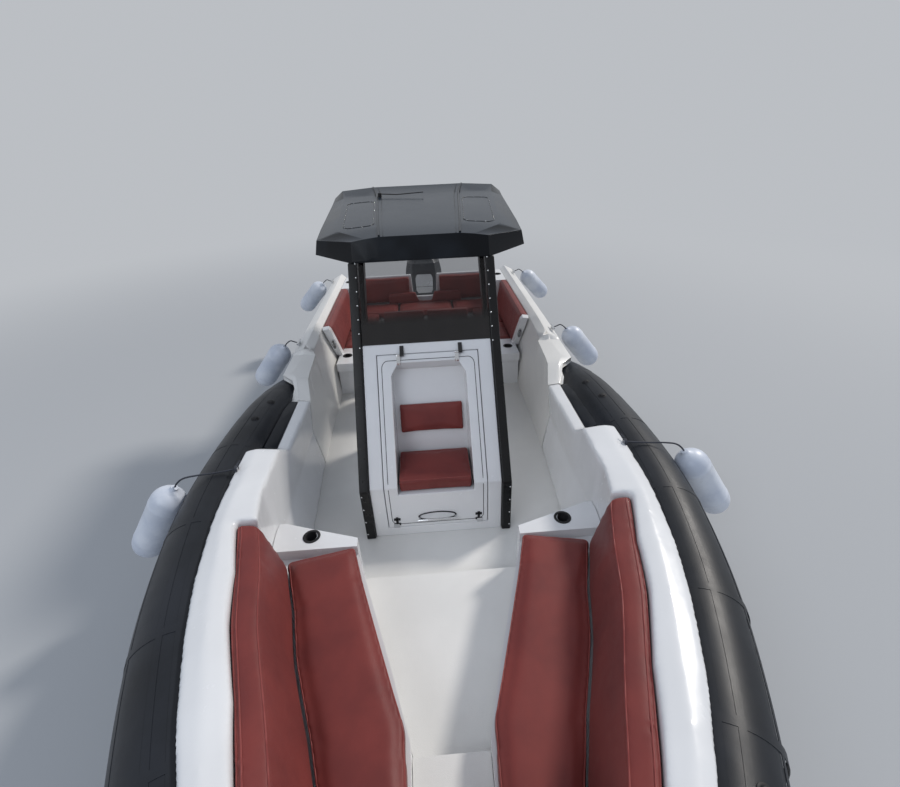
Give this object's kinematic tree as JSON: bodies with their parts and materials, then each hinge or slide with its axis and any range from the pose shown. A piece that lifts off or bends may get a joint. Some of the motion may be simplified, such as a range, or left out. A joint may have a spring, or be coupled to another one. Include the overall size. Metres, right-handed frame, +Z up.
{
  "type": "rigid inflatable boat",
  "caption": "Rigid inflatable boat with forward air tubes, raised side decks, centre console with seat door, hardtop, bow and stern seats and a tilting outboard motor.",
  "frame": {"origin": "on the waterline, on the centre plane, below the after edge of the cockpit moulding", "axes": "+X forward, +Y to port, +Z up"},
  "size_m": [9.7061, 4.3954, 3.405],
  "materials": {
    "gelcoat": "glossy white gelcoat",
    "deck_pad": "grey ribbed foam pad",
    "tube_fabric": "satin coated fabric",
    "red_vinyl": "grained upholstery vinyl",
    "black_frame": "satin black",
    "roof_shell": "dark grey gloss",
    "tinted_sheet": "dark tint",
    "steel": "polished",
    "black_plastic": "fine texture",
    "motor_paint": "metallic grey",
    "prop_steel": "satin",
    "bare_alloy": "cast",
    "fender_vinyl": "soft white",
    "rope": "braided"
  },
  "bodies": {
    "boat": {"aft_bulkhead": "gelcoat", "aft_cushion": "red_vinyl", "aft_seat_base": "gelcoat", "anchor_roller": "steel", "antenna": "black_plastic", "bow_backrests": "red_vinyl", "bow_cushions": "red_vinyl", "bow_deck": "gelcoat", "bow_floor": "gelcoat", "bow_seat_base": "gelcoat", "centre_backrest": "red_vinyl", "clamp_bracket": "bare_alloy", "cleats": "steel", "coaming_port": "gelcoat", "coaming_starboard": "gelcoat", "console": "gelcoat", "cup_holders": "black_plastic", "fender_line_1": "rope", "fender_line_2": "rope", "fender_line_3": "rope", "fender_line_4": "rope", "fender_line_5": "rope", "fender_line_6": "rope", "fenders": "fender_vinyl", "hardtop": "roof_shell", "helm_controls": "black_plastic", "helm_seat_base": "gelcoat", "helm_seat_cushion": "red_vinyl", "hinge_leaves": "steel", "hull": "gelcoat", "rub_strakes": "black_plastic", "side_backrests": "red_vinyl", "side_cushions": "red_vinyl", "side_deck_port": "gelcoat", "side_deck_starboard": "gelcoat", "sole": "gelcoat", "speakers": "black_plastic", "stern_rail": "steel", "swim_platforms": "deck_pad", "t_top_legs": "black_frame", "towing_eyes": "steel", "transom_backrests": "red_vinyl", "tube_aprons": "tube_fabric", "tube_port": "tube_fabric", "tube_starboard": "tube_fabric", "windscreen": "tinted_sheet"},
    "swivel": {"swivel_bracket": "bare_alloy"},
    "outboard": {"outboard_cowl": "motor_paint", "outboard_leg": "motor_paint"},
    "propeller": {"propeller": "prop_steel"},
    "wheel": {"steering_wheel": "black_plastic"},
    "door": {"console_door": "gelcoat", "door_cushions": "red_vinyl", "door_fittings": "steel"},
    "lid": {"anchor_lid": "gelcoat", "lid_fittings": "steel"}
  },
  "joints": [
    {"name": "motor_tilt", "type": "hinge", "parent": "boat", "child": "swivel", "pos_m": [-0.69, 0, 0.405], "axis": [0, 1, 0], "range_deg": [-6, 66]},
    {"name": "motor_steer", "type": "hinge", "parent": "swivel", "child": "outboard", "pos_m": [-0.83, 0, 0.25], "axis": [0, 0, 1], "range_deg": [-30, 30]},
    {"name": "propeller_spin", "type": "hinge", "parent": "outboard", "child": "propeller", "pos_m": [-1.355, 0, -0.56], "axis": [1, 0, 0], "continuous": true},
    {"name": "wheel_turn", "type": "hinge", "parent": "boat", "child": "wheel", "pos_m": [3.33, -0.23, 1.26], "axis": [0.8192, 0, -0.5736], "range_deg": [-720, 720]},
    {"name": "door_open", "type": "hinge", "parent": "boat", "child": "door", "pos_m": [4.245, 0, 1.61], "axis": [0, -1, 0], "range_deg": [0, 75]},
    {"name": "lid_open", "type": "hinge", "parent": "boat", "child": "lid", "pos_m": [7.252, 0, 1.2463], "axis": [0, -1, 0], "range_deg": [0, 100]}
  ],
  "couplings": [
    {"joint": "wheel_turn", "follows": "motor_steer", "ratio": 24}
  ]
}
